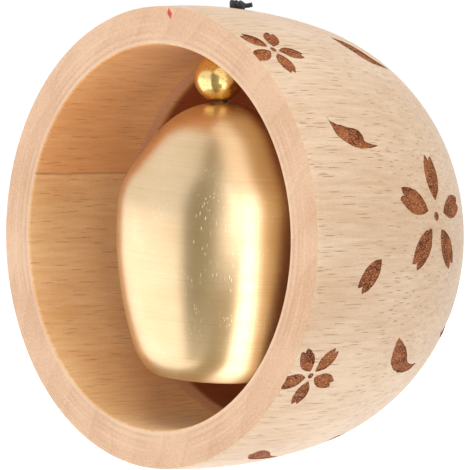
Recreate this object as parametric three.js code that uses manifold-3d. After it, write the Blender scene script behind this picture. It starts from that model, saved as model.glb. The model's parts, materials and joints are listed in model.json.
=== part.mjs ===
// Wind bell: a turned beech shell lying on its side, with a brass bell hung inside it on one waxed cord.
// Millimetres, +Z up. The shell's axis is Y, its mouth faces -Y, and the origin is the centre of its flat back.

import * as THREE from 'three';
import Module from 'manifold-3d';
import { mergeVertices } from 'three/addons/utils/BufferGeometryUtils.js';

// Shell outside: a barrel behind the mouth, then a shoulder, a hip and a corner that run into the flat back
const mouthRadius = 37.5;
const barrelLength = 8;
const barrelSwell = 0.33;
const shoulderRadius = 96;
const shoulderTurn = 11.9;
const hipRadius = 34.2;
const hipTurn = 37.2;
const backRadius = 13.9;

// Shell inside: a straight bore, a small step where the boring bar stopped, and a domed floor
const rimWall = 6.2;
const rimRound = 0.3;
const rimEase = 0.4;
const boreDepth = 22;
const creaseLength = 1.2;
const creaseStep = 0.7;
const floorWall = 7.3;
const floorFullness = 2.5;

// Magnet, flush in the back
const magnetRadius = 10;
const magnetThickness = 3;
const magnetGap = 0.3;

// Cord, its knots, and how freely it runs in the holes that it passes through
const cordRadius = 0.4;
const cordRun = 0.35;
const cordGap = 0.3;
const flexLength = 1.6;
const flexRise = 0.3;
const knotLength = 2.4;
const knotWrapRadius = 0.5;
const wrapSpacing = 0.7;
const wrapLean = 14;
const tailLength = 1.4;
const knotBearing = 46;
const knotRise = 0.3;
const knotAside = 0.55;
const bedRadius = 1.05;

// Bead: it is wide in the bore, so it sits off the line of the cord and leans it over a little
const beadRadius = 4;
const beadDrop = 1.2;
const beadRun = 1.35;
const beadTouch = 0.15;
const beadBearing = 226;
const cordLean = 0.3;

// Bell: crown, shoulder, belly, taper and turned-in lip, as arcs that run into each other
// The crown's arc is struck from a little beyond the axis, which leaves a slight point under the bead
const hangDepth = 13.6;
const bellSeat = 0.27;
const bellWall = 1.6;
const crownRadius = 13.75;
const crownAside = 0.37;
const crownTurn = 35.3;
const bellShoulderRadius = 103.5;
const bellShoulderTurn = 31.5;
const bellyRadius = 12.9;
const taperRadius = 62.6;
const taperTurn = 21.4;
const lipRadius = 8.7;
const lipTurn = 57.2;

// Clapper
const clapperRadius = 4.5;
const clapperReach = 26.6;

// Faces round each turned piece, round the cord and along it
const shellFacets = 72;
const bellFacets = 48;
const magnetFacets = 48;
const ballFacets = 20;
const ballSteps = 10;
const holeFacets = 16;
const cordFacets = 8;
const flexFacets = 12;
const wrapFacets = 16;
const cordSteps = 3;
const floorSteps = 9;

// Ways that an outline can face, in degrees from straight out of the axis
const towardsBack = 90;
const towardsAxis = 180;
const towardsMouth = 270;
const rimRoundEnd = 350;

// Where everything lies along the shell's axis, and up the line that the cord hangs on
const radians = THREE.MathUtils.degToRad;
const degrees = THREE.MathUtils.radToDeg;
const barrelRadius = (barrelLength ** 2 + barrelSwell ** 2) / (2 * barrelSwell);
const fullRadius = mouthRadius + barrelSwell;
const shoulderDrop = shoulderRadius * (1 - Math.cos(radians(shoulderTurn)));
const hipDrop = hipRadius * (Math.cos(radians(shoulderTurn)) - Math.cos(radians(hipTurn)));
const cornerRadius = (fullRadius - shoulderDrop - hipDrop - backRadius) / Math.cos(radians(hipTurn));
const shellDepth = barrelLength
  + shoulderRadius * Math.sin(radians(shoulderTurn))
  + hipRadius * (Math.sin(radians(hipTurn)) - Math.sin(radians(shoulderTurn)))
  + cornerRadius * (1 - Math.sin(radians(hipTurn)));
const boreRadius = mouthRadius - rimWall;
const hangY = hangDepth - shellDepth;
const holeRadius = cordRadius + cordRun;
const beadOffset = cordLean + beadRun - beadTouch;
const pivotZ = boreRadius - cordGap;
const beadZ = boreRadius - beadDrop - beadRadius;
const beadSole = Math.sqrt(beadRadius ** 2 - (cordRadius + beadRun) ** 2);
const bellTop = beadZ - beadSole - bellSeat;
const stopperZ = bellTop - bellWall - cordGap - knotLength / 2;
const clapperPivotZ = stopperZ - knotLength / 2 - cordGap - flexLength / 2;
const clapperZ = clapperPivotZ - clapperReach;
const endKnotZ = clapperZ - clapperRadius - cordGap - knotLength / 2;

const beech = new THREE.MeshStandardMaterial({ color: 0xe6c29c, roughness: 0.62, metalness: 0 });
const satinBrass = new THREE.MeshStandardMaterial({ color: 0xd9b46c, roughness: 0.34, metalness: 1 });
const polishedBrass = new THREE.MeshStandardMaterial({ color: 0xcf9c40, roughness: 0.14, metalness: 1 });
const waxedCord = new THREE.MeshStandardMaterial({ color: 0x17171a, roughness: 0.55, metalness: 0 });
const nickelPlate = new THREE.MeshStandardMaterial({ color: 0xb9bbbd, roughness: 0.25, metalness: 1 });

const group = new THREE.Group();
const wasm = await Module();
wasm.setup();

// Welds a geometry's shared vertices, and drops the empty triangles that a lathe leaves on its axis
function weld(geometry) {
  const bare = geometry.clone();
  bare.deleteAttribute('normal');
  bare.deleteAttribute('uv');
  const welded = mergeVertices(bare, 1e-4);
  const corners = welded.index.array;
  const kept = [];
  for (let i = 0; i < corners.length; i += 3) {
    const [a, b, c] = corners.slice(i, i + 3);
    if (a !== b && b !== c && c !== a) kept.push(a, b, c);
  }
  welded.setIndex(kept);
  return welded;
}

function toSolid(geometry) {
  const welded = weld(geometry);
  return new wasm.Manifold(new wasm.Mesh({
    numProp: 3,
    vertProperties: new Float32Array(welded.attributes.position.array),
    triVerts: new Uint32Array(welded.index.array),
  }));
}

function toGeometry(solid) {
  const { vertProperties, triVerts } = solid.getMesh();
  const geometry = new THREE.BufferGeometry();
  geometry.setAttribute('position', new THREE.BufferAttribute(new Float32Array(vertProperties), 3));
  geometry.setIndex(Array.from(triVerts));
  return geometry;
}

function addPart(name, geometry, material, x, y, z) {
  geometry.computeVertexNormals();
  const mesh = new THREE.Mesh(geometry, material);
  mesh.name = name;
  mesh.position.set(x, y, z);
  group.add(mesh);
}

// Points of an outline made of arcs that run into each other, moved in from it by an inset.
// An angle is that of the outward normal, in degrees from the radial direction towards the axial one.
function arcOutline(centre, startAngle, arcs, inset = 0) {
  const points = [];
  let [radial, axial] = centre;
  let angle = startAngle;
  let previous = arcs[0].radius;
  for (const { radius, to, steps } of arcs) {
    radial += (previous - radius) * Math.cos(radians(angle));
    axial += (previous - radius) * Math.sin(radians(angle));
    for (let i = points.length > 0 ? 1 : 0; i <= steps; i += 1) {
      const turn = radians(THREE.MathUtils.lerp(angle, to, i / steps));
      points.push(new THREE.Vector2(
        radial + (radius - inset) * Math.cos(turn),
        axial + (radius - inset) * Math.sin(turn),
      ));
    }
    angle = to;
    previous = radius;
  }
  return points;
}

// Shell: its outline is (radius, depth behind the mouth), turned about Y
function shellOutside() {
  const barrelStart = -degrees(Math.asin((barrelLength - rimRound) / barrelRadius));
  return [
    ...arcOutline([mouthRadius - rimRound, rimRound], towardsMouth, [
      { radius: rimRound, to: rimRoundEnd, steps: 4 },
    ]),
    ...arcOutline([fullRadius - barrelRadius, barrelLength], barrelStart, [
      { radius: barrelRadius, to: 0, steps: 2 },
      { radius: shoulderRadius, to: shoulderTurn, steps: 4 },
      { radius: hipRadius, to: hipTurn, steps: 3 },
      { radius: cornerRadius, to: towardsBack, steps: 6 },
    ]),
  ];
}

function shellCavity() {
  const floorStart = boreDepth + creaseLength;
  const floorRadius = boreRadius - creaseStep;
  const floorReach = shellDepth - floorWall - floorStart;
  const cavity = [new THREE.Vector2(0, floorStart + floorReach)];
  for (let i = 1; i <= floorSteps; i += 1) {
    const turn = (Math.PI / 2) * (1 - i / floorSteps);
    cavity.push(new THREE.Vector2(
      floorRadius * Math.cos(turn) ** (2 / floorFullness),
      floorStart + floorReach * Math.sin(turn) ** (2 / floorFullness),
    ));
  }
  cavity.push(new THREE.Vector2(boreRadius, boreDepth));
  cavity.push(...arcOutline([boreRadius + rimEase, rimEase], towardsAxis, [
    { radius: rimEase, to: towardsMouth, steps: 3 },
  ]));
  return cavity;
}

function magnetPocket() {
  const radius = magnetRadius + magnetGap;
  const floor = shellDepth - magnetThickness - magnetGap;
  return [
    new THREE.Vector2(radius, shellDepth),
    new THREE.Vector2(radius, floor),
    new THREE.Vector2(0, floor),
  ];
}

// The cord's hole through the top wall, and the shallow bed over it that the knot is pulled down into
function cordHole() {
  const drill = new THREE.CylinderGeometry(holeRadius, holeRadius, 2 * rimWall, holeFacets);
  drill.rotateX(Math.PI / 2);
  drill.translate(0, hangY, (boreRadius + fullRadius) / 2);
  const bed = new THREE.CapsuleGeometry(bedRadius, 2 * wrapSpacing, 3, holeFacets);
  bed.rotateZ(Math.PI / 2);
  bed.translate(knotAside, 0, 0);
  bed.rotateZ(radians(knotBearing));
  bed.translate(0, hangY, fullRadius + knotRise);
  return toSolid(drill).add(toSolid(bed));
}

function shell() {
  const lathe = new THREE.LatheGeometry([...shellCavity(), ...shellOutside(), ...magnetPocket()], shellFacets);
  lathe.translate(0, -shellDepth, 0);
  return toGeometry(toSolid(lathe).subtract(cordHole()));
}

// Magnet
function magnet() {
  return weld(new THREE.CylinderGeometry(magnetRadius, magnetRadius, magnetThickness, magnetFacets));
}

// Bell: its outline is (radius, height from the crown's top), turned about Z
function bell() {
  const holeInCrown = cordRadius + cordRun;
  const arcs = [
    { radius: crownRadius, to: crownTurn, steps: 4 },
    { radius: bellShoulderRadius, to: bellShoulderTurn, steps: 1 },
    { radius: bellyRadius, to: 0, steps: 3 },
    { radius: taperRadius, to: -taperTurn, steps: 3 },
    { radius: lipRadius, to: -lipTurn, steps: 4 },
  ];
  const centre = [-crownAside, -crownRadius];
  const holeReach = holeInCrown + crownAside;
  const outside = arcOutline(centre, degrees(Math.acos(holeReach / crownRadius)), arcs);
  const inside = arcOutline(centre, degrees(Math.acos(holeReach / (crownRadius - bellWall))), arcs, bellWall);
  const lathe = new THREE.LatheGeometry([...inside, ...outside.reverse(), inside[0]], bellFacets);
  lathe.rotateX(Math.PI / 2);
  return weld(lathe);
}

// A ball with a bore along Z
function boredBall(radius, bore) {
  const start = Math.asin(bore / radius);
  const outline = [];
  for (let i = 0; i <= ballSteps; i += 1) {
    const turn = THREE.MathUtils.lerp(start, Math.PI - start, i / ballSteps);
    outline.push(new THREE.Vector2(radius * Math.sin(turn), -radius * Math.cos(turn)));
  }
  outline.push(outline[0]);
  const lathe = new THREE.LatheGeometry(outline, ballFacets);
  lathe.rotateX(Math.PI / 2);
  return weld(lathe);
}

// A tube of cord through points
function cordAlong(points) {
  const section = new THREE.Shape();
  section.absarc(0, 0, cordRadius, 0, 2 * Math.PI);
  const path = new THREE.CatmullRomCurve3(points.map((p) => new THREE.Vector3(...p)));
  return toSolid(new THREE.ExtrudeGeometry(section, {
    steps: cordSteps * points.length,
    curveSegments: cordFacets / 2,
    bevelEnabled: false,
    extrudePath: path,
  }));
}

// A knot pulled tight: three leaning wraps round the cord's own core, which runs along Z
function knot() {
  const core = new THREE.CapsuleGeometry(cordRadius, knotLength - 2 * cordRadius, 2, cordFacets);
  core.rotateX(Math.PI / 2);
  let solid = toSolid(core);
  for (const place of [-1, 0, 1]) {
    const wrap = new THREE.TorusGeometry(knotWrapRadius, cordRadius, cordFacets, wrapFacets);
    wrap.rotateX(radians(wrapLean));
    wrap.translate(0, 0, place * wrapSpacing);
    solid = solid.add(toSolid(wrap));
  }
  return solid;
}

// The cord's upper end: up through the wall into the knot that lies in the mouth of the hole
function topKnot() {
  const height = fullRadius + knotRise - pivotZ;
  const coreEnd = knotAside + knotLength / 2 - cordRadius;
  const rise = cordAlong([[0, 0, flexRise + flexLength / 2 + cordGap], [0, 0, height]]);
  const tail = cordAlong([
    [coreEnd, 0, height],
    [coreEnd + cordRadius, 0, height],
    [coreEnd + cordRadius + tailLength, 0, height + cordRadius],
  ]);
  const lying = knot().rotate([0, 90, 0]).translate([knotAside, 0, height]);
  return toGeometry(rise.add(lying).add(tail).rotate([0, 0, knotBearing]));
}

// The stretch that the bead and the bell hang on: down through the bead and the crown to the knot under it
function stopperKnot() {
  const aside = (share, height) => [
    share * cordLean * Math.cos(radians(beadBearing)),
    share * cordLean * Math.sin(radians(beadBearing)),
    height - stopperZ,
  ];
  const stretch = cordAlong([
    aside(1, pivotZ + flexRise - flexLength / 2 - cordGap),
    aside(1, beadZ),
    aside(1, beadZ - beadRadius + cordGap),
    aside(0.4, bellTop),
    aside(0, bellTop - bellWall),
    aside(0, stopperZ),
  ]);
  return toGeometry(stretch.add(knot()));
}

// The stretch below, through the clapper's bore to the knot that holds it up
function endKnot() {
  const top = clapperPivotZ - flexLength / 2 - cordGap;
  const stretch = cordAlong([[0, 0, top - endKnotZ], [0, 0, 0]]);
  return toGeometry(stretch.add(knot()));
}

// One spot of cord that flexes between two stretches
function flexSpot() {
  const spot = new THREE.CapsuleGeometry(cordRadius, flexLength - 2 * cordRadius, 3, flexFacets);
  spot.rotateX(Math.PI / 2);
  return weld(spot);
}

const beadX = beadOffset * Math.cos(radians(beadBearing));
const beadY = hangY + beadOffset * Math.sin(radians(beadBearing));
addPart('shell', shell(), beech, 0, 0, 0);
addPart('back_magnet', magnet(), nickelPlate, 0, -magnetThickness / 2, 0);
addPart('top_knot', topKnot(), waxedCord, 0, hangY, pivotZ);
addPart('cord_at_ceiling', flexSpot(), waxedCord, 0, hangY, pivotZ + flexRise);
addPart('bead', boredBall(beadRadius, cordRadius + beadRun), polishedBrass, beadX, beadY, beadZ);
addPart('stopper_knot', stopperKnot(), waxedCord, 0, hangY, stopperZ);
addPart('bell', bell(), satinBrass, 0, hangY, bellTop);
addPart('cord_under_stopper', flexSpot(), waxedCord, 0, hangY, clapperPivotZ);
addPart('clapper', boredBall(clapperRadius, cordRadius + cordRun), satinBrass, 0, hangY, clapperZ);
addPart('end_knot', endKnot(), waxedCord, 0, hangY, endKnotZ);

export default group;
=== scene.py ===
# Wind bell: a turned beech shell lying on its side, with a brass bell hung in it on a black waxed cord
# Metres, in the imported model's frame: the mouth faces -Y, the flat back lies on y = 0, Z is up
import json
import math
from functools import partial
import bmesh
import bpy
from mathutils import Matrix, Vector, noise
from mathutils.geometry import delaunay_2d_cdt


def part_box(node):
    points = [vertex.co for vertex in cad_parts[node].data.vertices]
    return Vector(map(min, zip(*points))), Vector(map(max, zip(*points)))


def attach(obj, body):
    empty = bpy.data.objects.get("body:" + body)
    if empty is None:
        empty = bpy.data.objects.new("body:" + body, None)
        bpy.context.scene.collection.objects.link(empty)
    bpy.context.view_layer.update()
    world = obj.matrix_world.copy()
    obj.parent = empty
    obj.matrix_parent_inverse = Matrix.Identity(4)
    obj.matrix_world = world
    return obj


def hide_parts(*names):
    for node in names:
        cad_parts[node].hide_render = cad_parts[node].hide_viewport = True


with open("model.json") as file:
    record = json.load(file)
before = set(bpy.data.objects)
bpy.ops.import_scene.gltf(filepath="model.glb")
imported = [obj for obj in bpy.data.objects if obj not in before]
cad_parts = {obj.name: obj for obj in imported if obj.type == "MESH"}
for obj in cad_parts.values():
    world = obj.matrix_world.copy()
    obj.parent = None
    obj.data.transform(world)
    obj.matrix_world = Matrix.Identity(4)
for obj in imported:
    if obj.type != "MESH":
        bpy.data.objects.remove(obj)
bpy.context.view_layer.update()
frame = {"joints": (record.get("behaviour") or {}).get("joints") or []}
mm = 0.001
bellLow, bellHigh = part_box("bell")
hangY = (bellLow[1] + bellHigh[1]) / 2 / mm   # the cord hangs here, in mm, and so does the bell
shellDepth = -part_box("shell")[0][1] / mm      # mouth to back


# Small helpers

# sRGB hex to the linear values that Blender wants
def linear(hexColour):
    channels = [int(hexColour[i:i + 2], 16) / 255 for i in (1, 3, 5)]
    return [c / 12.92 if c <= 0.04045 else ((c + 0.055) / 1.055) ** 2.4 for c in channels] + [1.0]


# One node with its settings and links. A kind without Node in it is a shader node. Values fill the open inputs
# in order or by name, and words in small letters are settings. A node given as a value stands for its first
# open output
def addNode(tree, kind, *values, **named):
    node = tree.nodes.new(kind if "Node" in kind else "ShaderNode" + kind)
    for key, value in named.items():
        if key[0].islower():
            setattr(node, key, value)
    wanted = list(zip([socket for socket in node.inputs if socket.enabled], values))
    wanted += [(node.inputs[key], value) for key, value in named.items() if not key[0].islower()]
    for socket, value in wanted:
        if isinstance(value, bpy.types.Node):
            value = next(output for output in value.outputs if output.enabled)
        if isinstance(value, bpy.types.NodeSocket):
            tree.links.new(value, socket)
        else:
            socket.default_value = linear(value) if isinstance(value, str) else value
    return node


def newMaterial(name):
    material = bpy.data.materials.new(name)
    material.use_nodes = True
    material.node_tree.nodes.clear()
    return material, partial(addNode, material.node_tree)


smooth = {"interpolation_type": "SMOOTHSTEP"}
asColour = {"data_type": "RGBA"}


# Scale of a pattern whose cells have these sizes in mm
def cellScale(*sizes):
    return [1 / (size * mm) for size in sizes]


# Patterns added to a start, each with its weight
def addUp(add, total, *parts):
    for pattern, weight in parts:
        total = add("Math", pattern, weight, total, operation="MULTIPLY_ADD")
    return total


# A colour laid over another where a pattern is, up to a given strength
def layOver(add, under, pattern, strength, over):
    share = add("Math", pattern, strength, operation="MULTIPLY")
    return add("Mix", share, under, over, **asColour)


# The end of a material: reliefs are (pattern, strength, height in mm), the rest goes to the shader by name
def endMaterial(add, colour, reliefs, **sockets):
    normal = {}
    for pattern, strength, height in reliefs:
        normal = {"Normal": add("Bump", Height=pattern, Strength=strength, Distance=height * mm, **normal)}
    add("OutputMaterial", add("BsdfPrincipled", **{"Base Color": colour}, **normal, **sockets))


def objectFromMesh(name, mesh, materials):
    for material in materials:
        mesh.materials.append(material)
    piece = bpy.data.objects.new(name, mesh)
    bpy.context.collection.objects.link(piece)
    return piece


# Arcs that run into each other: (radius, angle of the outward normal at the end, steps)
def arcRun(centre, startAngle, arcs, inset=0.0):
    points = []
    radial, along = centre
    angle = startAngle
    previous = arcs[0][0]
    for radius, to, steps in arcs:
        radial += (previous - radius) * math.cos(math.radians(angle))
        along += (previous - radius) * math.sin(math.radians(angle))
        for i in range(1 if points else 0, steps + 1):
            turn = math.radians(angle + (to - angle) * i / steps)
            reach = radius - inset
            points.append((radial + reach * math.cos(turn), along + reach * math.sin(turn)))
        angle = to
        previous = radius
    return points


# A Catmull-Rom curve through given points
def smoothPath(points, steps=10):
    ends = [points[0] * 2 - points[1]] + points + [points[-1] * 2 - points[-2]]
    path = []
    for i in range(1, len(ends) - 2):
        a, b, c, d = ends[i - 1:i + 3]
        for k in range(steps):
            t = k / steps
            path.append(((b * 2) + (c - a) * t + (a * 2 - b * 5 + c * 4 - d) * t * t
                         + (b * 3 - a - c * 3 + d) * t ** 3) * 0.5)
    return path + [points[-1]]


def smoothExcept(work, sharpAngle):
    for face in work.faces:
        face.smooth = True
    for edge in work.edges:
        edge.smooth = len(edge.link_faces) == 2 and edge.calc_face_angle(0) <= math.radians(sharpAngle)


# A closed outline of (radius, along) in mm, turned about an axis through a place in mm
def turnedMesh(name, outline, facets, axis, place, sharpAngle=35.0):
    work = bmesh.new()
    rings = []
    onAxis = 1e-6
    for radius, along in outline:
        ring = []
        for i in range(facets if radius > onAxis else 1):
            turn = 2 * math.pi * i / facets
            x, y = radius * math.cos(turn), radius * math.sin(turn)
            point = (x, along, y) if axis == "Y" else (x, y, along)
            ring.append(work.verts.new([(point[k] + place[k]) * mm for k in range(3)]))
        rings.append(ring)
    closed = outline[0][0] > onAxis
    for j in range(len(rings) if closed else len(rings) - 1):
        a, b = rings[j], rings[(j + 1) % len(rings)]
        for i in range(facets):
            corners = [a[i % len(a)], a[(i + 1) % len(a)], b[(i + 1) % len(b)], b[i % len(b)]]
            work.faces.new(list(dict.fromkeys(corners)))
    bmesh.ops.recalc_face_normals(work, faces=work.faces)
    smoothExcept(work, sharpAngle)
    mesh = bpy.data.meshes.new(name)
    work.to_mesh(mesh)
    work.free()
    return mesh


# Camera: it stands to the right of the mouth, a little above, and looks at the rim from a step away

cameraSize = dict(
    distance=656.5, aside=-12.98, down=-0.45, lens=310.3, sensor=36.0,   # mm
    yaw=46.25, pitch=5.62, roll=4.29,   # degrees
)


def makeCamera(size):
    yaw, pitch, roll = (math.radians(size[key]) for key in ("yaw", "pitch", "roll"))
    back = Vector((math.sin(yaw) * math.cos(pitch), -math.cos(yaw) * math.cos(pitch), math.sin(pitch)))
    level = Vector((math.cos(yaw), math.sin(yaw), 0))
    upright = back.cross(level)
    right = level * math.cos(roll) + upright * math.sin(roll)
    up = upright * math.cos(roll) - level * math.sin(roll)
    mouth = Vector((0, -shellDepth, 0))
    place = mouth - right * size["aside"] - up * size["down"] + back * size["distance"]
    data = bpy.data.cameras.new("photoCamera")
    data.lens = size["lens"]
    data.sensor_width = size["sensor"]
    data.clip_start = 0.01
    data.clip_end = 100
    camera = bpy.data.objects.new("photoCamera", data)
    bpy.context.collection.objects.link(camera)
    turn = Matrix((right, up, back)).transposed().to_4x4()
    camera.matrix_world = Matrix.Translation(place * mm) @ turn
    bpy.context.scene.camera = camera


makeCamera(cameraSize)
print("camera placed")


# Beech, turned and sanded, no varnish. Its side grain is beige, full of thin brown dashes that run along the
# axis, the end grain on the rim is pinker and plainer, and the bore is painted deeper and more orange: painted
# light of its walls lighting each other

beechLook = dict(
    sidePale="#eaceb0", sideDeep="#d3ae89", endPale="#eac3a1", endDeep="#d2a480",
    # the bore's pale and deep colours are painted deeper and more orange than the side's: painted light of its
    # walls lighting each other
    borePale="#fdd39c", boreDeep="#ecb479", boreFloorShade="#a8714e", dash="#a06b40", boreDash="#94582f",
    # the floor colour on the line above is painted shade, and the crease colour on the next line a painted
    # highlight
    creaseHighlight="#dca68a", seamTint="#fae8da", edgeFuzzAndHighlight="#f3dcc4", tick="#cf3b2f",
    # cells of the patterns in mm, across and along the grain
    dashCell=(0.4, 7.5), bendCell=(0.8, 1.6), streakCell=(0.7, 9.0), cloudCell=(12.0, 24.0),
    fineCell=(0.16, 0.5), rimCell=(0.3, 2.0), fadeCell=(9.0, 30.0), ringCell=(16.0, 60.0), seamCell=(3.0, 9.0),
    dashOnSide=0.78, dashOnBore=0.5, turningScale=1.6, turningStrength=0.36,
    # places and spacings in mm
    ringSpacing=5.5, ringCentre=(130.0, 0.0, -60.0), boreRadius=31.3, seamHeight=7.05, creaseDepth=22.6,
    tickX=-0.4, tickZ=36.4,
    roughness=0.48, sheen=0.12,
)


def makeBeech(look):
    material, add = newMaterial("turnedBeech")
    coords = add("TexCoord")
    position = coords.outputs["Object"]
    x, y, z = add("SeparateXYZ", add("Mapping", position, Scale=cellScale(1, 1, 1))).outputs   # in mm
    facing = add("SeparateXYZ", coords.outputs["Normal"]).outputs["Y"]
    across = add("CombineXYZ", x, 0.0, z)
    fromAxis = add("VectorMath", across, operation="LENGTH")

    def stretched(cell, shift=0.0):
        return add("Mapping", position, (shift, shift, 0), Scale=cellScale(cell[0], cell[1], cell[0]))

    def grain(cell, detail=2.0, shift=0.0):
        return add("TexNoise", stretched(cell, shift), Scale=1.0, Detail=detail, Roughness=0.6)

    bore = look["boreRadius"]
    endGrain = add("MapRange", facing, -0.95, -0.55, 1.0, 0.0, **smooth)
    inBore = add("Math", add("Math", facing, 0.2, operation="LESS_THAN"),
                 add("MapRange", fromAxis, bore + 0.1, bore + 0.4, 1.0, 0.0, **smooth), operation="MULTIPLY")

    # growth rings: wide arcs about a pith that lay far outside this piece
    fromPith = add("VectorMath", across, look["ringCentre"], operation="DISTANCE")
    count = addUp(add, 0.0, (grain(look["ringCell"]), 1.3), (fromPith, 1 / look["ringSpacing"]))
    ringTone = add("ValToRGB", add("Math", count, operation="FRACT"))
    stops = ringTone.color_ramp.elements
    stops[0].color = stops[1].color = (0.2, 0.2, 0.2, 1)
    for spot, grey in ((0.7, 0.55), (0.92, 1.0)):
        stops.new(spot).color = (grey, grey, grey, 1)

    # tone of each kind of surface
    streak = grain(look["streakCell"], 3.0)
    cloud = grain(look["cloudCell"], 1.0, 3.0)
    fine = grain(look["fineCell"], 2.0, 7.0)
    tone = add("MapRange", addUp(add, 0.0, (fine, 0.3), (cloud, 0.35), (streak, 0.5)), 0.42, 0.72)
    side = add("Mix", tone, look["sidePale"], look["sideDeep"], **asColour)
    # painted light: the bore gets its own deeper, more orange colours for the light that its walls throw on
    # each other
    inside = add("Mix", tone, look["borePale"], look["boreDeep"], **asColour)

    # the rim, with faint lines that the turning left, and they fade out in places
    turning = add("TexNoise", noise_dimensions="1D", W=fromAxis, Scale=look["turningScale"], Detail=2.0,
                  Roughness=0.6)
    patches = grain(look["fadeCell"], 0.0, 17.0)
    fading = add("MapRange", patches, 0.35, 0.65, 0.0, look["turningStrength"], **smooth)
    endTone = addUp(add, 0.0, (grain(look["rimCell"], 2.0, 11.0), 0.22), (cloud, 0.3), (ringTone, 0.07),
                    (fine, 0.4), (add("Math", turning, 0.5, operation="SUBTRACT"), fading))
    end = add("Mix", add("MapRange", endTone, 0.40, 0.62), look["endPale"], look["endDeep"], **asColour)

    # dashes: cells drawn out along the grain, cut by the surface at all depths, so they come in all sizes.
    # The thinnest real ones wouldn't show, so they are a little coarser here
    bent = add("VectorMath", add("TexNoise", stretched(look["bendCell"]), Scale=1.0).outputs["Color"],
               (0.35, 0.35, 0.35), stretched(look["dashCell"]), operation="MULTIPLY_ADD")
    cells = add("TexVoronoi", bent, Scale=1.0)
    dash = add("MapRange", addUp(add, cells, (cloud, 0.12)), 0.15, 0.34, 1.0, 0.0)
    side = layOver(add, side, dash, look["dashOnSide"], look["dash"])
    inside = layOver(add, inside, dash, look["dashOnBore"], look["boreDash"])

    # a seam runs along the bore on the left, with redder wood above it
    left = add("Math", x, 0.0, operation="LESS_THAN")
    wave = 0.8   # mm, and the noise lies about a half
    level = addUp(add, add("Math", z, look["seamHeight"] + wave / 2, operation="SUBTRACT"),
                  (grain(look["seamCell"], 2.0, 5.0), wave))
    above = add("Math", add("MapRange", level, -0.1, 0.1, **smooth), left, operation="MULTIPLY")
    redder = add("Mix", 1.0, inside, look["seamTint"], blend_type="MULTIPLY", **asColour)
    inside = add("Mix", above, inside, redder, **asColour)
    line = add("MapRange", add("Math", level, operation="ABSOLUTE"), 0.08, 0.3, 1.0, 0.0, **smooth)
    inside = layOver(add, inside, add("Math", line, left, operation="MULTIPLY"), 0.35, look["boreDash"])

    # the crease at the end of the bore is painted paler, a painted highlight where its small step faces the
    # light, and the floor beyond it, end grain, is painted darker: painted shade deep in the bore
    depth = add("Math", y, shellDepth, operation="ADD")
    floorShadeMask = add("MapRange", depth, look["creaseDepth"] + 0.3, look["creaseDepth"] + 2.5, **smooth)
    # painted shade: the floor past the crease is darkened
    floor = add("Mix", 0.95, inside, look["boreFloorShade"], blend_type="MULTIPLY", **asColour)
    inside = add("Mix", floorShadeMask, inside, floor, **asColour)
    fromCrease = add("Math", depth, look["creaseDepth"], operation="SUBTRACT")
    # painted highlight: a paler band along the crease
    creaseHighlight = add("MapRange", add("Math", fromCrease, operation="ABSOLUTE"), 0.3, 0.9, 1.0, 0.0, **smooth)
    inside = layOver(add, inside, creaseHighlight, 0.5, look["creaseHighlight"])

    # a short red pencil tick on the rim, beside the top
    rise = add("Math", z, look["tickZ"], operation="SUBTRACT")
    lean = addUp(add, add("Math", x, look["tickX"], operation="SUBTRACT"), (rise, 0.35))
    away = addUp(add, add("Math", lean, operation="ABSOLUTE"),
                 (add("Math", rise, operation="ABSOLUTE"), 0.62), (fine, 0.3))
    end = add("Mix", add("MapRange", away, 0.6, 0.85, 1.0, 0.0, **smooth), end, look["tick"], **asColour)

    # the tool left the inner edge of the rim a little furry, and it is painted paler: a painted highlight
    # where its fibres catch the light
    inward = addUp(add, add("Math", bore + 0.75, fromAxis, operation="SUBTRACT"), (fine, 1.1))
    end = layOver(add, end, add("MapRange", inward, 0.45, 0.75, **smooth), 0.3, look["edgeFuzzAndHighlight"])

    outside = add("Mix", endGrain, side, end, **asColour)
    relief = addUp(add, 0.0, (fine, 0.5), (streak, 0.3), (dash, -0.7))
    # sheen: sanded fibres catch light at a glancing angle
    endMaterial(add, add("Mix", inBore, outside, inside, **asColour), [(relief, 0.4, 0.06)], IOR=1.5,
                Roughness=look["roughness"], **{"Sheen Weight": look["sheen"], "Sheen Roughness": 0.4})
    return material


# Beech burnt by a laser: dull, reddish brown and mottled with pale flecks on the floor of a mark, and plainer
# on its walls

floorLook = dict(pale="#a55f37", deep="#602a0e", fleck="#d19c73", fibreCell=(0.22, 0.6, 0.22),
                 blotchCell=(1.6, 3, 1.6), roughness=0.85, specular=0.25)
wallLook = dict(floorLook, pale="#a8653f", deep="#7c3f20", fleck="#b9825c")


def makeBurnt(name, look):
    material, add = newMaterial(name)
    position = add("TexCoord").outputs["Object"]
    fibres = add("Mapping", position, Scale=cellScale(*look["fibreCell"]))
    streaks = add("TexNoise", fibres, Scale=1.0, Detail=3.0)
    blotches = add("Mapping", position, Scale=cellScale(*look["blotchCell"]))
    blotch = add("TexNoise", blotches, Scale=1.0, Detail=1.0)
    tone = add("MapRange", addUp(add, 0.0, (streaks, 0.6), (blotch, 0.5)), 0.45, 0.63)
    colour = add("Mix", tone, look["deep"], look["pale"], **asColour)
    flecks = add("MapRange", add("TexNoise", fibres, Scale=1.5, Detail=1.0), 0.55, 0.68)
    colour = layOver(add, colour, flecks, 0.8, look["fleck"])
    endMaterial(add, colour, [(streaks, 0.6, 0.08)], Roughness=look["roughness"],
                **{"Specular IOR Level": look["specular"]})
    return material


# Brass, satin from fine lines turned round it, with short slanting scratches of handling that come in patches,
# painted paler as painted glints
# Real lines are some hundredths of a millimetre apart. They are drawn coarser, so that they show

brassLook = dict(colour="#e9cea8", deep="#dcba8a", scratchGlint="#fff2cc", lineCell=(30, 30, 0.16),
                 stainCell=(7, 7, 5), scratchCell=(0.36, 0.36, 2.6), scratchTurn=(0.9, 0.4, 0.3),
                 roughness=0.34, anisotropic=0.4)


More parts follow.
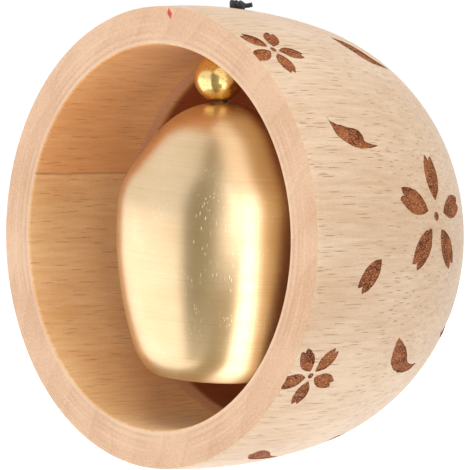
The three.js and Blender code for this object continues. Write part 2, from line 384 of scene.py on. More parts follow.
def makeSatinBrass(look):
    material, add = newMaterial("satinTurnedBrass")
    position = add("TexCoord").outputs["Object"]
    lines = add("TexNoise", add("Mapping", position, Scale=cellScale(*look["lineCell"])),
                Scale=1.0, Detail=3.0, Roughness=0.7)
    stains = add("Mapping", position, Scale=cellScale(*look["stainCell"]))
    stain = add("TexNoise", stains, Scale=1.0, Detail=3.0)
    tone = add("MapRange", addUp(add, 0.0, (stain, 0.4), (lines, 0.5)), 0.35, 0.7)
    slanted = add("Mapping", position, Rotation=look["scratchTurn"], Scale=cellScale(*look["scratchCell"]))
    cells = add("TexVoronoi", slanted, Scale=1.0)
    scratchGlint = add("MapRange", addUp(add, cells, (stain, 0.25)), 0.2, 0.3, 1.0, 0.0)
    brass = add("Mix", tone, look["colour"], look["deep"], **asColour)
    # the scratches are real wear, and their paler colour is a painted glint
    colour = layOver(add, brass, scratchGlint, 0.5, look["scratchGlint"])
    rough = addUp(add, look["roughness"] - 0.07, (lines, 0.14))
    endMaterial(add, colour, [(lines, 0.12, 0.01), (scratchGlint, 0.5, 0.03)], Metallic=1.0, Roughness=rough,
                Anisotropic=look["anisotropic"], Tangent=add("Tangent", direction_type="RADIAL", axis="Z"),
                **{"Anisotropic Rotation": 0.25})
    return material


# Polished brass, with the small pits of a cast bead

beadLook = dict(colour="#f0d28e", pit="#7a5020", pitCell=0.55, roughness=0.2)


def makePolishedBrass(look):
    material, add = newMaterial("polishedBrass")
    small = add("Mapping", add("TexCoord").outputs["Object"], Scale=cellScale(*[look["pitCell"]] * 3))
    pit = add("MapRange", add("TexVoronoi", small, Scale=1.0), 0.1, 0.28, 1.0, 0.0)
    relief = addUp(add, add("TexNoise", small, Scale=0.45, Detail=1.0), (pit, -0.4))
    endMaterial(add, layOver(add, look["colour"], pit, 0.7, look["pit"]), [(relief, 0.3, 0.05)],
                Metallic=1.0, Roughness=look["roughness"])
    return material


# Black waxed cord: dull, with a slight sheen, and paler streaks in its colour that are painted highlights of
# the rubbed wax

waxLook = dict(deep="#0b0b0c", pale="#222226", fibreCell=0.09, roughness=0.42, sheen=0.25)


def makeWaxedCord(look):
    material, add = newMaterial("blackWaxedCord")
    fibres = add("Mapping", add("TexCoord").outputs["Object"], Scale=cellScale(*[look["fibreCell"]] * 3))
    nap = add("TexNoise", fibres, Scale=1.0, Detail=2.0)
    # the nap's paler streaks are painted highlights
    endMaterial(add, add("Mix", nap, look["deep"], look["pale"], **asColour), [(nap, 0.4, 0.03)],
                Roughness=look["roughness"], **{"Sheen Weight": look["sheen"]})
    return material


# Nickel plate on the magnet, with fine scuffs

nickelLook = dict(bright="#c9c9c6", dull="#a9a8a3", scuffCell=1.8, roughness=0.14)


def makeNickel(look):
    material, add = newMaterial("nickelPlate")
    wide = add("Mapping", add("TexCoord").outputs["Object"], Scale=cellScale(*[look["scuffCell"]] * 3))
    scuff = add("TexNoise", wide, Scale=1.0, Detail=5.0, Roughness=0.7)
    endMaterial(add, add("Mix", scuff, look["bright"], look["dull"], **asColour), [],
                Metallic=1.0, Roughness=addUp(add, look["roughness"], (scuff, 0.25)))
    return material


beech = makeBeech(beechLook)
burntFloor = makeBurnt("burntBeechFloor", floorLook)
burntWall = makeBurnt("burntBeechWall", wallLook)
satinBrass = makeSatinBrass(brassLook)
polishedBrass = makePolishedBrass(beadLook)
waxedCord = makeWaxedCord(waxLook)
nickel = makeNickel(nickelLook)
print("materials made")


# Cord sizes come first, because the shell's hole follows the cord
# Its knots are three wraps pulled tight, and the one on top lies a little to the side of the hole

cordSize = dict(
    radius=0.4, strandRadius=0.13, strands=8, turnsPerMm=0.42, weave=0.3, step=0.09,
    ringFacets=6, coreFacets=10, flexLength=1.6, flexRise=0.3, gap=0.3,
    knotRadius=0.5, knotLength=2.4, wrapSpacing=0.7, knotRise=0.3, knotAside=0.55, bearing=46.0,
)
bearing = math.radians(cordSize["bearing"])


# Shell: the same arcs as the solid, in finer steps, with the marks cut out of it

shellSize = dict(
    mouthRadius=37.5, barrelLength=8.0, barrelSwell=0.33, shoulderRadius=96.0, shoulderTurn=11.9,
    hipRadius=34.2, hipTurn=37.2, backRadius=13.9,
    rimWall=6.2, rimRound=0.3, rimEase=0.4, boreDepth=22.0, creaseLength=1.2, creaseStep=0.7,
    floorWall=7.3, floorFullness=2.5, pocketRadius=10.3, pocketDepth=3.3, pocketEase=0.25,
    holeRadius=0.75, bedRadius=1.05, bedReach=0.7, facets=240, floorSteps=26, sharpAngle=32.0,
)


def shellOutside(size):
    full = size["mouthRadius"] + size["barrelSwell"]
    barrelRadius = (size["barrelLength"] ** 2 + size["barrelSwell"] ** 2) / (2 * size["barrelSwell"])
    start = -math.degrees(math.asin((size["barrelLength"] - size["rimRound"]) / barrelRadius))
    shoulder, hip = math.radians(size["shoulderTurn"]), math.radians(size["hipTurn"])
    left = full - size["shoulderRadius"] * (1 - math.cos(shoulder))
    left -= size["hipRadius"] * (math.cos(shoulder) - math.cos(hip)) + size["backRadius"]
    cornerRadius = left / math.cos(hip)
    return arcRun((full - barrelRadius, size["barrelLength"]), start, [
        (barrelRadius, 0, 8),
        (size["shoulderRadius"], size["shoulderTurn"], 18),
        (size["hipRadius"], size["hipTurn"], 10),
        (cornerRadius, 90, 22),
    ])


def shellOutline(size):
    rim, rounding = size["mouthRadius"], size["rimRound"]
    bore, ease = size["mouthRadius"] - size["rimWall"], size["rimEase"]
    floorStart = size["boreDepth"] + size["creaseLength"]
    floorRadius = bore - size["creaseStep"]
    reach = shellDepth - size["floorWall"] - floorStart
    power = 2 / size["floorFullness"]
    outline = [(0.0, floorStart + reach)]
    for i in range(1, size["floorSteps"] + 1):
        turn = math.pi / 2 * (1 - i / size["floorSteps"])
        outline.append((floorRadius * math.cos(turn) ** power, floorStart + reach * math.sin(turn) ** power))
    outline += [(bore, size["boreDepth"] * share) for share in (1, 0.75, 0.5, 0.25)]
    outline += arcRun((bore + ease, ease), 180, [(ease, 270, 4)])
    outline += [((bore + rim) / 2, 0.0)]
    outline += arcRun((rim - rounding, rounding), 270, [(rounding, 352, 7)])
    outline += shellOutside(size)
    pocket, easing, end = size["pocketRadius"], size["pocketEase"], shellDepth - size["pocketDepth"]
    outline += [(pocket + easing, shellDepth), (pocket, shellDepth - easing), (pocket, end), (0.0, end)]
    return outline


# (length along the outside from the mouth, radius, depth) for each point of it
def walkOutside(size):
    points = [(size["mouthRadius"], 0.0)] + shellOutside(size)
    length, table = 0.0, []
    for i, (radius, along) in enumerate(points):
        if i:
            length += math.hypot(radius - points[i - 1][0], along - points[i - 1][1])
        table.append((length, radius, along))
    return table


outsideWalk = walkOutside(shellSize)


# The two points of the walk round a length, and the share of the way between them
def walkTo(length):
    for before, after in zip(outsideWalk, outsideWalk[1:]):
        if length <= after[0]:
            break
    return before, after, (length - before[0]) / (after[0] - before[0])


def radiusAt(length):
    before, after, share = walkTo(length)
    return before[1] + (after[1] - before[1]) * share


# A point on the shell's outside, in mm: angle in degrees from +X up, length behind the mouth along the outside
def onShell(angle, length, lift):
    before, after, share = walkTo(length)
    slope = Vector((after[2] - before[2], before[1] - after[1])).normalized()
    radius = before[1] + (after[1] - before[1]) * share + slope.x * lift
    along = before[2] + (after[2] - before[2]) * share + slope.y * lift
    turn = math.radians(angle)
    return Vector((radius * math.cos(turn), along - shellDepth, radius * math.sin(turn)))


# Marks: cherry blossoms, single petals and leaves. Sizes in mm on the surface; turn 0 points to the back

markSize = dict(depth=0.15, lift=0.5, floorGrain=0.05, floorStep=0.45, edgeWander=0.13, dotRadius=0.4)

# angle round the shell, length behind the mouth, outer radius, turn, inner radius, plumpness of the petals
blossoms = [
    (59.2, 4.7, 5.7, -15.0, 1.0, 1.15),
    (-28.2, 4.75, 5.9, -18.0, 1.0, 1.15),
    (12.0, 29.2, 10.1, 16.0, 2.5, 1.0),
    (128.0, 27.0, 9.2, 40.0, 2.3, 1.05),
    (158.0, 6.6, 5.7, 10.0, 1.0, 1.15),
    (206.0, 30.5, 10.0, -8.0, 2.5, 1.05),
    (232.0, 7.0, 5.7, 33.0, 1.0, 1.15),
    (287.0, 28.5, 9.0, 22.0, 2.2, 1.05),
]
petals = [  # angle, length behind the mouth, size, turn
    (1.6, 14.3, 6.6, -132.0),
    (176.0, 17.0, 6.4, 60.0),
    (262.0, 15.5, 6.4, -150.0),
    (80.0, 38.5, 6.2, 120.0),
]
# Leaves and a horn-shaped petal, drawn as (round the shell, towards the back) from one tip, with the place of
# the other tip in the list
drawnShapes = {
    "slimLeaf": (6, [(2.5, -4.45), (1.4, -3.85), (0.65, -1.1), (0.13, 1.13), (-0.7, 1.95), (-2.0, 2.4),
                     (-2.6, 5.3), (-3.0, 3.0), (-3.1, 0.17), (-2.3, -1.95), (-1.05, -3.55), (0.2, -4.15)]),
    "broadLeaf": (4, [(3.6, -4.5), (3.0, -1.5), (1.4, 0.2), (-1.0, 2.2), (-2.3, 5.8),
                      (-3.2, 1.6), (-2.4, -1.2), (0.6, -3.4)]),
    "horn": (5, [(4.5, -2.8), (2.8, -0.3), (1.3, 1.3), (-0.2, 2.3), (-1.5, 3.8), (-2.2, 6.6),
                 (-3.3, 5.0), (-3.0, 2.0), (-2.0, -0.2), (-0.3, -2.1), (1.5, -2.8), (3.2, -3.1)]),
    "bud": (4, [(0.9, -4.5), (2.7, -3.2), (1.5, -0.4), (-0.9, 2.0), (-3.3, 6.2), (-2.7, 1.4), (-1.4, -2.6)]),
}
drawn = [  # shape, angle, length behind the mouth, turn
    ("slimLeaf", 33.5, 11.5, 0.0),
    ("broadLeaf", 63.6, 28.2, 0.0),
    ("horn", -26.4, 25.5, 0.0),
    ("bud", -62.0, 11.4, 0.0),
    ("slimLeaf", -20.5, 43.4, 40.0),
    ("slimLeaf", 104.0, 11.0, 65.0),
    ("horn", 146.0, 42.0, 130.0),
    ("broadLeaf", 184.0, 40.5, -50.0),
    ("horn", 252.0, 36.0, 25.0),
    ("slimLeaf", 208.0, 12.5, -20.0),
]


# One petal as (along, across), from its narrow foot to the notch between its two lobes
def petalOutline(inner, outer, plump=1.0, steps=12):
    reach = outer - inner
    side = [Vector((inner, 0)), Vector((inner + 0.22 * reach, 0.26 * reach * plump)),
            Vector((inner + 0.62 * reach, 0.36 * reach * plump)), Vector((outer, 0.125 * reach))]
    edge = []
    for i in range(steps + 1):
        t = i / steps
        edge.append(side[0] * (1 - t) ** 3 + side[1] * 3 * t * (1 - t) ** 2
                    + side[2] * 3 * t * t * (1 - t) + side[3] * t ** 3)
    lobe = [Vector((outer - 0.02 * reach, 0.07 * reach)), Vector((outer - 0.075 * reach, 0.022 * reach))]
    notch = [Vector((outer - 0.13 * reach, 0.0))]
    half = edge[1:] + lobe
    return [edge[0]] + half + notch + [Vector((p.x, -p.y)) for p in reversed(half)]


# Smooth sides between the two tips of a drawn shape, as (along, across)
def drawnOutline(shape, steps=5):
    tip, points = drawnShapes[shape]
    points = [Vector((back, around)) for around, back in points]
    return smoothPath(points[:tip + 1], steps)[:-1] + smoothPath(points[tip:] + points[:1], steps)[:-1]


def dotOutline(radius, sides=14):
    turns = (2 * math.pi * k / sides for k in range(sides))
    return [Vector((radius * math.cos(turn), radius * math.sin(turn))) for turn in turns]


# From (along, across) to (round the shell, towards the back)
def placed(outline, turn):
    c, s = math.cos(math.radians(turn)), math.sin(math.radians(turn))
    return [Vector((p.x * s + p.y * c, p.x * c - p.y * s)) for p in outline]


def allMarks():
    for angle, length, outer, turn, inner, plump in blossoms:
        for k in range(5):
            yield angle, length, placed(petalOutline(inner, outer, plump), turn + 72 * k)
        yield angle, length, dotOutline(0.13 * inner + markSize["dotRadius"])
    for angle, length, size, turn in petals:
        yield angle, length, placed(petalOutline(0, size), turn)
    for shape, angle, length, turn in drawn:
        yield angle, length, placed(drawnOutline(shape), turn)


def wander(x, y, seed):
    return Vector((noise.noise(Vector((x, y, seed))), noise.noise(Vector((y, x, seed + 40)))))


# A closed plug that follows the shell: its underside is the grainy floor of the mark
def addCutter(work, angle, length, outline, size):
    count = len(outline)
    outline = [p + wander(p.x * 1.7, p.y * 1.7, angle) * size["edgeWander"] for p in outline]
    points = list(outline)
    step = size["floorStep"]
    low = Vector((min(p.x for p in outline), min(p.y for p in outline)))
    high = Vector((max(p.x for p in outline), max(p.y for p in outline)))
    for i in range(1, int((high.x - low.x) / step) + 1):
        for j in range(1, int((high.y - low.y) / step) + 1):
            # nudged, so that no four points share a circle and the triangles come out the same each run
            spot = low + Vector((i, j)) * step + wander(i * 1.37, j * 1.71, angle) * step * 0.4
            if min((spot - p).length for p in outline) > step * 0.4:
                points.append(spot)
    edges = [(i, (i + 1) % count) for i in range(count)]
    flat, _, faces, source, _, _ = delaunay_2d_cdt(points, edges, [], 1, 1e-4)
    scale = 180 / math.pi / radiusAt(length)
    floor, cap = [], []
    for k, point in enumerate(flat):
        place = (angle + point.x * scale, length + point.y)
        spot = onShell(*place, 0)
        onEdge = any(index < count for index in source[k])
        bumps = noise.noise(Vector((spot.x * 2.2, spot.y * 0.7, spot.z * 2.2)))
        grain = 0 if onEdge else bumps * size["floorGrain"]
        floor.append(work.verts.new(onShell(*place, grain - size["depth"]) * mm))
        cap.append(work.verts.new(onShell(*place, size["lift"]) * mm))
    border = set()
    for face in faces:
        border.update(zip(face, face[1:] + face[:1]))
        work.faces.new([floor[k] for k in face]).material_index = 1
        work.faces.new([cap[k] for k in reversed(face)]).material_index = 1
    for face in faces:
        for a, b in zip(face, face[1:] + face[:1]):
            if (b, a) not in border:
                work.faces.new([floor[b], floor[a], cap[a], cap[b]]).material_index = 2


# Cuts a closed bmesh out of the shell, and hands its materials on to the cut
def cutAway(piece, work, name):
    mesh = bpy.data.meshes.new(name)
    work.to_mesh(mesh)
    work.free()
    cutter = objectFromMesh(name, mesh, [beech, burntFloor, burntWall])
    cut = piece.modifiers.new(name, "BOOLEAN")
    cut.operation = "DIFFERENCE"
    cut.solver = "MANIFOLD"
    cut.object = cutter
    done = bpy.data.meshes.new_from_object(piece.evaluated_get(bpy.context.evaluated_depsgraph_get()))
    piece.modifiers.clear()
    piece.data = done
    bpy.data.objects.remove(cutter)


def makeShell(size):
    mesh = turnedMesh("shell_turned", shellOutline(size), size["facets"], "Y", (0, -shellDepth, 0))
    shell = objectFromMesh("shell_turned", mesh, [beech, burntFloor, burntWall])
    work = bmesh.new()
    for angle, length, outline in allMarks():
        addCutter(work, angle, length, outline, markSize)
    bmesh.ops.recalc_face_normals(work, faces=work.faces)
    cutAway(shell, work, "marks")
    # the cord's hole, then the bed that the knot is pulled down into
    full = size["mouthRadius"] + size["barrelSwell"]
    through = 2 * (size["rimWall"] + 2)
    work = bmesh.new()
    bmesh.ops.create_cone(work, cap_ends=True, segments=32, radius1=size["holeRadius"] * mm,
                          radius2=size["holeRadius"] * mm, depth=through * mm,
                          matrix=Matrix.Translation(Vector((0, hangY, full)) * mm))
    cutAway(shell, work, "hole")
    work = bmesh.new()
    bmesh.ops.create_uvsphere(work, u_segments=32, v_segments=16, radius=size["bedRadius"] * mm)
    for vert in work.verts:
        vert.co.z += math.copysign(size["bedReach"] * mm, vert.co.z)
    work.transform(Matrix.Translation(Vector((0, hangY, full + cordSize["knotRise"])) * mm)
                   @ Matrix.Rotation(bearing, 4, "Z") @ Matrix.Translation((cordSize["knotAside"] * mm, 0, 0))
                   @ Matrix.Rotation(math.pi / 2, 4, "Y"))
    cutAway(shell, work, "bed")
    done = shell.data
    work = bmesh.new()
    work.from_mesh(done)
    bmesh.ops.remove_doubles(work, verts=work.verts, dist=1e-7)
    smoothExcept(work, size["sharpAngle"])
    for edge in work.edges:
        if len({face.material_index for face in edge.link_faces}) > 1:
            edge.smooth = False
    work.to_mesh(done)
    work.free()
    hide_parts("shell")
    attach(shell, "root")
    print("shell made,", len(done.polygons), "faces")


makeShell(shellSize)


# Magnet: a plated disc with a small chamfer, flush in the back

magnetSize = dict(radius=10.0, thickness=3.0, chamfer=0.25, facets=96, sharpAngle=20.0)


def makeMagnet(size):
    radius, thickness, chamfer = size["radius"], size["thickness"], size["chamfer"]
    outline = [(0, -thickness), (radius - chamfer, -thickness), (radius, chamfer - thickness),
               (radius, -chamfer), (radius - chamfer, 0), (0, 0)]
    mesh = turnedMesh("magnet_disc", outline, size["facets"], "Y", (0, 0, 0), size["sharpAngle"])
    magnet = objectFromMesh("magnet_disc", mesh, [nickel])
    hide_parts("back_magnet")
    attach(magnet, "root")


makeMagnet(magnetSize)
print("magnet made")


# Bell: a wall of even thickness between two runs of arcs, closed by a round lip

bellSize = dict(wall=1.6, hole=0.75, crownRadius=13.75, crownAside=0.37, crownTurn=35.3,
                shoulderRadius=103.5, shoulderTurn=31.5, bellyRadius=12.9, taperRadius=62.6, taperTurn=21.4,
                lipRadius=8.7, lipTurn=57.2, lipSteps=8, facets=192)


def makeBell(size):
    arcs = [(size["crownRadius"], size["crownTurn"], 16), (size["shoulderRadius"], size["shoulderTurn"], 6),
            (size["bellyRadius"], 0, 12), (size["taperRadius"], -size["taperTurn"], 14),
            (size["lipRadius"], -size["lipTurn"], 14)]
    centre = (-size["crownAside"], -size["crownRadius"])
    reach = size["hole"] + size["crownAside"]
    outside = arcRun(centre, math.degrees(math.acos(reach / size["crownRadius"])), arcs)
    innerCrown = size["crownRadius"] - size["wall"]
    inside = arcRun(centre, math.degrees(math.acos(reach / innerCrown)), arcs, size["wall"])
    lipMiddle = Vector(outside[-1]).lerp(Vector(inside[-1]), 0.5)
    across = (Vector(outside[-1]) - Vector(inside[-1])) / 2
    outward = Vector((across.y, -across.x))
    turns = (math.pi * k / size["lipSteps"] for k in range(1, size["lipSteps"]))
    lip = [tuple(lipMiddle + across * math.cos(a) + outward * math.sin(a)) for a in turns]
    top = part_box("bell")[1][2] / mm - outside[0][1]
    outline = outside + lip + inside[::-1]
    mesh = turnedMesh("bell_turned", outline, size["facets"], "Z", (0, hangY, top))
    bell = objectFromMesh("bell_turned", mesh, [satinBrass])
    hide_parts("bell")
    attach(bell, "bell")


makeBell(bellSize)


# Bead and clapper: turned balls with a bore

beadSize = dict(radius=4.0, bore=1.75, ease=0.12, facets=96, steps=48, sharpAngle=50.0)
clapperSize = dict(beadSize, radius=4.5, bore=0.75)


def makeBall(name, node, body, size):
    low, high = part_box(node)
    place = [(low[k] + high[k]) / 2 / mm for k in range(3)]
    radius, bore, ease, steps = (size[key] for key in ("radius", "bore", "ease", "steps"))
    start = math.asin((bore + ease) / radius)
    outline = []
    for i in range(steps + 1):
        turn = start + (math.pi - 2 * start) * i / steps
        outline.append((radius * math.sin(turn), -radius * math.cos(turn)))
    end = radius * math.cos(start)
    outline += [(bore, end - ease), (bore, ease - end)]
    mesh = turnedMesh(name, outline, size["facets"], "Z", place, size["sharpAngle"])
    ball = objectFromMesh(name, mesh, [polishedBrass])
    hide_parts(node)
    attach(ball, body)


makeBall("bead_ball", "bead", "bead", beadSize)
makeBall("clapper_ball", "clapper", "clapper", clapperSize)
print("brass made")


# Cord: strands plaited round a core, made by Geometry Nodes along each path

def plaitTree(size):
    tree = bpy.data.node_groups.new("plaitedCord", "GeometryNodeTree")
    tree.is_modifier = True
    face = tree.interface
    face.new_socket("Geometry", in_out="INPUT", socket_type="NodeSocketGeometry")
    inputs = {}
    for name, value in (("Cord radius", size["radius"] * mm), ("Strand radius", size["strandRadius"] * mm),
                        ("Turns per metre", size["turnsPerMm"] / mm)):
        inputs[name] = face.new_socket(name, in_out="INPUT", socket_type="NodeSocketFloat")
        inputs[name].default_value = value
    inputs["Strands"] = face.new_socket("Strands", in_out="INPUT", socket_type="NodeSocketInt")
    inputs["Strands"].default_value = size["strands"]
    inputs["Material"] = face.new_socket("Material", in_out="INPUT", socket_type="NodeSocketMaterial")
    face.new_socket("Geometry", in_out="OUTPUT", socket_type="NodeSocketGeometry")

    add = partial(addNode, tree)
    given = add("NodeGroupInput").outputs
    path = add("GeometryNodeMeshToCurve", given["Geometry"])
    even = add("GeometryNodeResampleCurve", path, mode="LENGTH", Length=size["step"] * mm)
    copies = add("GeometryNodeDuplicateElements", even, domain="SPLINE", Amount=given["Strands"])
    index = copies.outputs["Duplicate Index"]

    # the strands go round to the left and to the right by turns, and rise and dip where they cross
    odd = add("Math", index, 2.0, operation="MODULO")
    way = add("Math", odd, 2.0, -1.0, operation="MULTIPLY_ADD")   # -1 or 1
    length = add("GeometryNodeSplineParameter").outputs["Length"]
    wound = add("Math", length, given["Turns per metre"], operation="MULTIPLY")
    turns = add("Math", wound, way, operation="MULTIPLY")
    share = add("Math", index, given["Strands"], operation="DIVIDE")
    angle = add("Math", add("Math", turns, share, operation="ADD"), 2 * math.pi, operation="MULTIPLY")
    crossings = add("Math", given["Strands"], 4.0, operation="DIVIDE")
    weave = add("Math", add("Math", angle, crossings, operation="MULTIPLY"), operation="SINE")
    middle = add("Math", given["Cord radius"], given["Strand radius"], operation="SUBTRACT")
    lift = add("Math", add("Math", weave, way, operation="MULTIPLY"),
               add("Math", given["Strand radius"], size["weave"], operation="MULTIPLY"), middle,
               operation="MULTIPLY_ADD")

    normal = add("GeometryNodeInputNormal")
    side = add("VectorMath", add("GeometryNodeInputTangent"), normal, operation="CROSS_PRODUCT")
    shifts = []
    for direction, wave in ((normal, "COSINE"), (side, "SINE")):
        reach = add("Math", add("Math", angle, operation=wave), lift, operation="MULTIPLY")
        shifts.append(add("VectorMath", direction, reach, operation="SCALE"))
    moved = add("GeometryNodeSetPosition", copies, Offset=add("VectorMath", *shifts, operation="ADD"))
    ring = add("GeometryNodeCurvePrimitiveCircle", size["ringFacets"], Radius=given["Strand radius"])
    strands = add("GeometryNodeCurveToMesh", moved, ring, **{"Fill Caps": True})
    coreRing = add("GeometryNodeCurvePrimitiveCircle", size["coreFacets"], Radius=middle)
    core = add("GeometryNodeCurveToMesh", even, coreRing, **{"Fill Caps": True})
    joined = add("GeometryNodeJoinGeometry", strands)
    tree.links.new(core.outputs[0], joined.inputs[0])
    real = add("GeometryNodeRealizeInstances", add("GeometryNodeSetShadeSmooth", joined))
    add("NodeGroupOutput", add("GeometryNodeSetMaterial", real, Material=given["Material"]))
    return tree, {name: socket.identifier for name, socket in inputs.items()}


plait, plaitInputs = plaitTree(cordSize)


# One cord piece: each path is a list of points in mm
def plaited(name, paths, node, body):
    verts, edges = [], []
    for path in paths:
        start = len(verts)
        verts += [point * mm for point in path]
        edges += [(start + i, start + i + 1) for i in range(len(path) - 1)]
    mesh = bpy.data.meshes.new(name)
    mesh.from_pydata(verts, edges, [])
    piece = objectFromMesh(name, mesh, [])
    modifier = piece.modifiers.new("plait", "NODES")
    modifier.node_group = plait
    modifier[plaitInputs["Material"]] = waxedCord
    done = bpy.data.meshes.new_from_object(piece.evaluated_get(bpy.context.evaluated_depsgraph_get()))
    piece.modifiers.clear()
    piece.data = done
    work = bmesh.new()
    work.from_mesh(done)
    bmesh.ops.recalc_face_normals(work, faces=work.faces)
    work.to_mesh(done)
    work.free()
    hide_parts(node)
    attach(piece, body)


# The wraps of a knot round the line of z, as points about its centre
def wraps(size, turns=3.0):
    span = size["wrapSpacing"] * turns
    count = int(turns * 12)
    for i in range(count + 1):
        turn = 2 * math.pi * turns * i / count
        yield Vector((size["knotRadius"] * math.cos(turn), size["knotRadius"] * math.sin(turn),
                      span * (i / count - 0.5)))


# The line that the bell hangs on, from one height to another
def straight(bottom, top, steps=8):
    return [Vector((0, hangY, bottom + (top - bottom) * i / steps)) for i in range(steps + 1)]


def makeCords(size):
    half = size["knotLength"] / 2
    flexHalf = size["flexLength"] / 2 + size["gap"]
    onLine = Vector((0, hangY, 0))
    # top knot: up through the hole, three times round, and out to a short tail
    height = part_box("shell")[1][2] / mm + size["knotRise"]
    turned = Matrix.Rotation(bearing, 3, "Z")
    aside = Vector((size["knotAside"], 0, 0))
    coil = [Vector((p.z, p.x, p.y)) + aside for p in wraps(size, 2.7)]
    ceiling = frame["joints"][0]["pos_m"][2] / mm + size["flexRise"]
    rising = [Vector((0, 0, ceiling + flexHalf - height)), Vector((0, 0, -3.0)), Vector((-0.05, 0, -1.6))]
    through = [Vector((half * 0.9, 0.1, 0.2)), Vector((half * 0.3, 0, 0.1)), Vector((-half * 0.6, 0.05, 0.0))]
    path = smoothPath(rising + coil[2:] + [p + aside for p in through], 5)
    ending = [Vector((0, 0, 0.1)), Vector((half, 0, 0.05)), Vector((half + 0.7, 0.1, 0.12)),
              Vector((half + 1.3, 0.0, 0.3))]
    tail = smoothPath([p + aside for p in ending], 8)
    lift = Vector((0, hangY, height))
    paths = [[turned @ p + lift for p in line] for line in (path, tail)]
    plaited("knot_on_top", paths, "top_knot", "root")
    # the spots that flex
    spotLow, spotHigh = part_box("cord_under_stopper")
    spot = (spotLow[2] + spotHigh[2]) / 2 / mm
    for name, middle, node, body in (("cord_at_pivot", ceiling, "cord_at_ceiling", "cord_bend"),
                                     ("cord_under_knot", spot, "cord_under_stopper", "clapper_cord")):
        plaited(name, [straight(middle - flexHalf, middle + flexHalf)], node, body)
    # stretch with the stopper knot: the cord leans a little where it passes the bead
    low, high = (corner[2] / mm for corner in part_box("stopper_knot"))
    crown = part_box("bell")[1][2] / mm
    beadLow, beadHigh = (corner[2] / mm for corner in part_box("bead"))
    lean = Vector((-math.cos(bearing), -math.sin(bearing), 0)) * 0.3
    stops = [(lean, high), (lean, (beadLow + beadHigh) / 2), (lean, beadLow + 0.3), (lean * 0.4, crown),
             (lean * 0, crown - bellSize["wall"]), (lean * 0, low + 0.1)]
    stretch = smoothPath([onLine + shift + Vector((0, 0, z)) for shift, z in stops])
    wrapping = [p + onLine + Vector((0, 0, low + half)) for p in wraps(size)]
    plaited("knot_under_crown", [stretch, smoothPath(wrapping, 3)], "stopper_knot", "hanging_cord")
    # stretch with the end knot
    low, high = (corner[2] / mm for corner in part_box("end_knot"))
    wrapping = [p + onLine + Vector((0, 0, low + half)) for p in wraps(size)]
    paths = [straight(low + 0.1, high, 20), smoothPath(wrapping, 3)]
    plaited("knot_under_clapper", paths, "end_knot", "clapper")


makeCords(cordSize)
print("cords made")


# Light: a white sweep and four wide soft lamps. Cards that only reflections see give the bell its bands

sweepLook = dict(worldFill=0.2, floorGlow=0.27, floorWhite=0.8, floor="#f6f6f5", floorReach=25.0,
                 floorLevel=-0.16)

lampSize = {   # metres and watts; azimuth 0 is out of the mouth, and it turns towards +X
    "leftLamp": dict(azimuth=-64, elevation=4, distance=1.3, width=0.9, height=0.9, power=8.5),
    "rightLamp": dict(azimuth=44, elevation=4, distance=1.2, width=0.6, height=0.6, power=4.7),
    "backLamp": dict(azimuth=125, elevation=10, distance=1.2, width=0.6, height=0.8, power=1.0),
    "topLamp": dict(azimuth=60, elevation=82, distance=1.2, width=1.0, height=1.0, power=12.0),
}

# Upright cards round the mouth, from one azimuth to another, with the colours that they have there
cardSize = {
    # this card glows in the colour of the bore's wood: a painted reflection of the bore wall in the bell
    "wallReflectionCard": dict(azimuths=(-112, -86), heights=(-0.155, 0.45),
                     colours=((0.5, 0.3, 0.16), (0.5, 0.3, 0.16))),
    "dullCard": dict(azimuths=(10, 48), heights=(-0.155, 0.45),
                     colours=((0.24, 0.22, 0.15), (0.46, 0.43, 0.32))),
    "dullFoot": dict(azimuths=(48, 95), heights=(-0.155, -0.03),
                     colours=((0.4, 0.36, 0.26), (0.45, 0.35, 0.2))),
    "brightCard": dict(azimuths=(59, 95), heights=(-0.03, 0.45),
                       colours=((2.2, 2.2, 2.2), (3.5, 3.5, 3.5))),
}

# A glowing strip, like paper tucked inside the mouth, that only reflections see: (angle, brightness) round it,
# (depth, colour) into it. Where it is dim its colour runs into the wood's, a painted reflection of the bore
# wall, and its low end lies deeper
stripSize = dict(
    angles=[(-112, 0.0), (-84, 0.05), (-64, 0.8), (-20, 1.0), (20, 0.8), (38, 0.4), (60, 0.3), (84, 0.25)],
    depths=[(0.4, (0.6, 0.54, 0.4)), (1.4, (3.2, 3.2, 3.2)), (7.5, (3.2, 3.2, 3.2)),
            (11.5, (1.0, 0.72, 0.42)), (21.0, (0.6, 0.38, 0.18))],
    front=(0.2, (0.5, 0.45, 0.32)), wallReflection=(0.5, 0.29, 0.13), radius=31.0, slant=8.0, step=5.0,
)


# 1 where the camera, a mirror or glass looks at a surface, and 0 where it only gives light
def seenDirectly(add):
    ray = add("LightPath").outputs
    seen = add("Math", ray["Is Camera Ray"], ray["Is Glossy Ray"], operation="MAXIMUM")
    return add("Math", seen, ray["Is Transmission Ray"], operation="MAXIMUM")


def makeWorld(look):
    world = bpy.data.worlds.new("whiteSweep")
    bpy.context.scene.world = world
    world.use_nodes = True
    world.node_tree.nodes.clear()
    add = partial(addNode, world.node_tree)
    strength = addUp(add, look["worldFill"], (seenDirectly(add), 1 - look["worldFill"]))
    add("OutputWorld", add("Background", (1, 1, 1, 1), strength))


def makeLamp(name, azimuth, elevation, distance, width, height, power):
    a, e = math.radians(azimuth), math.radians(elevation)
    target = Vector((0, -25, 0)) * mm
    place = target + Vector((math.sin(a) * math.cos(e), -math.cos(a) * math.cos(e), math.sin(e))) * distance
    data = bpy.data.lights.new(name, "AREA")
    data.shape = "RECTANGLE"
    data.size = width
    data.size_y = height
    data.energy = power
    lamp = bpy.data.objects.new(name, data)
    bpy.context.collection.objects.link(lamp)
    turn = (place - target).to_track_quat("Z", "Y").to_matrix().to_4x4()
    lamp.matrix_world = Matrix.Translation(place) @ turn
    lamp.visible_glossy = False


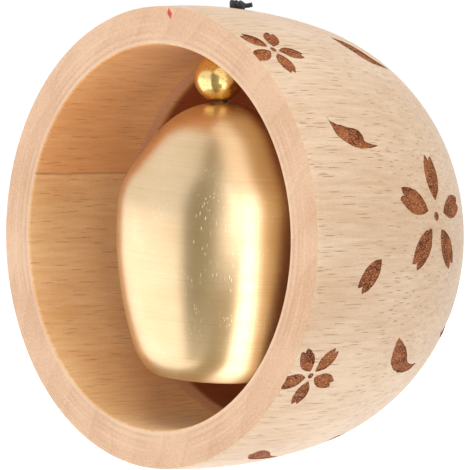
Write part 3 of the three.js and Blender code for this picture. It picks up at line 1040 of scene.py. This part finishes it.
def makeFloor(look):
    material, add = newMaterial("paleFloor")
    glow = addUp(add, look["floorGlow"], (seenDirectly(add), look["floorWhite"] - look["floorGlow"]))
    endMaterial(add, look["floor"], [], Roughness=0.9,
                **{"Emission Color": (1, 1, 1, 1), "Emission Strength": glow})
    far, level = look["floorReach"], look["floorLevel"]
    mesh = bpy.data.meshes.new("floor")
    corners = [(x * far, y * far, level) for x, y in ((-1, -1), (1, -1), (1, 1), (-1, 1))]
    mesh.from_pydata(corners, [], [(0, 1, 2, 3)])
    objectFromMesh("floor", mesh, [material])


# A glowing card that only reflections see: rows of (point, colour), and the colours run into each other
def makeCard(name, rows):
    material, add = newMaterial(name)
    add("OutputMaterial", add("Emission", add("Attribute", attribute_name="glow")))
    width = len(rows[0])
    faces = [(i * width + k, (i + 1) * width + k, (i + 1) * width + k + 1, i * width + k + 1)
             for i in range(len(rows) - 1) for k in range(width - 1)]
    mesh = bpy.data.meshes.new(name)
    mesh.from_pydata([point for row in rows for point, _ in row], [], faces)
    colours = mesh.color_attributes.new("glow", "FLOAT_COLOR", "POINT")
    for i, (_, value) in enumerate(pair for row in rows for pair in row):
        colours.data[i].color = (*value, 1)
    card = objectFromMesh(name, mesh, [material])
    card.visible_camera = False
    card.visible_diffuse = False
    card.visible_shadow = False


def standingCard(name, azimuths, colours, heights, distance=0.12, centreY=-0.035, steps=12):
    rows = []
    for i in range(steps + 1):
        a = math.radians(azimuths[0] + (azimuths[1] - azimuths[0]) * i / steps)
        colour = Vector(colours[0]).lerp(Vector(colours[1]), i / steps)
        rows.append([(Vector((math.sin(a) * distance, centreY - math.cos(a) * distance, height)), colour)
                     for height in heights])
    makeCard(name, rows)


def tuckedCard(name, size):
    angles, wallReflection = size["angles"], Vector(size["wallReflection"])
    rows = []
    for (first, bright), (last, nextBright) in zip(angles, angles[1:]):
        steps = max(1, round((last - first) / size["step"]))
        for i in range(steps + (last == angles[-1][0])):
            turn = math.radians(first + (last - first) * i / steps)
            level = bright + (nextBright - bright) * i / steps
            deeper = size["slant"] * min(0.9, max(0.0, -math.sin(turn)))
            aside, up = size["radius"] * math.cos(turn), size["radius"] * math.sin(turn)
            row = [size["front"]]
            for depth, colour in size["depths"]:
                # where the strip is dim it glows in the wood's colour: a painted reflection of the bore wall
                row.append((deeper + depth, Vector(colour) * level + wallReflection * (1 - level)))
            rows.append([(Vector((aside, depth - shellDepth, up)) * mm, colour) for depth, colour in row])
    makeCard(name, rows)


makeWorld(sweepLook)
for name, size in lampSize.items():
    makeLamp(name, **size)
makeFloor(sweepLook)
for name, size in cardSize.items():
    standingCard(name, **size)
tuckedCard("reflectionStrip", stripSize)
bpy.context.scene.view_settings.view_transform = "Standard"
print("lights and floor made")
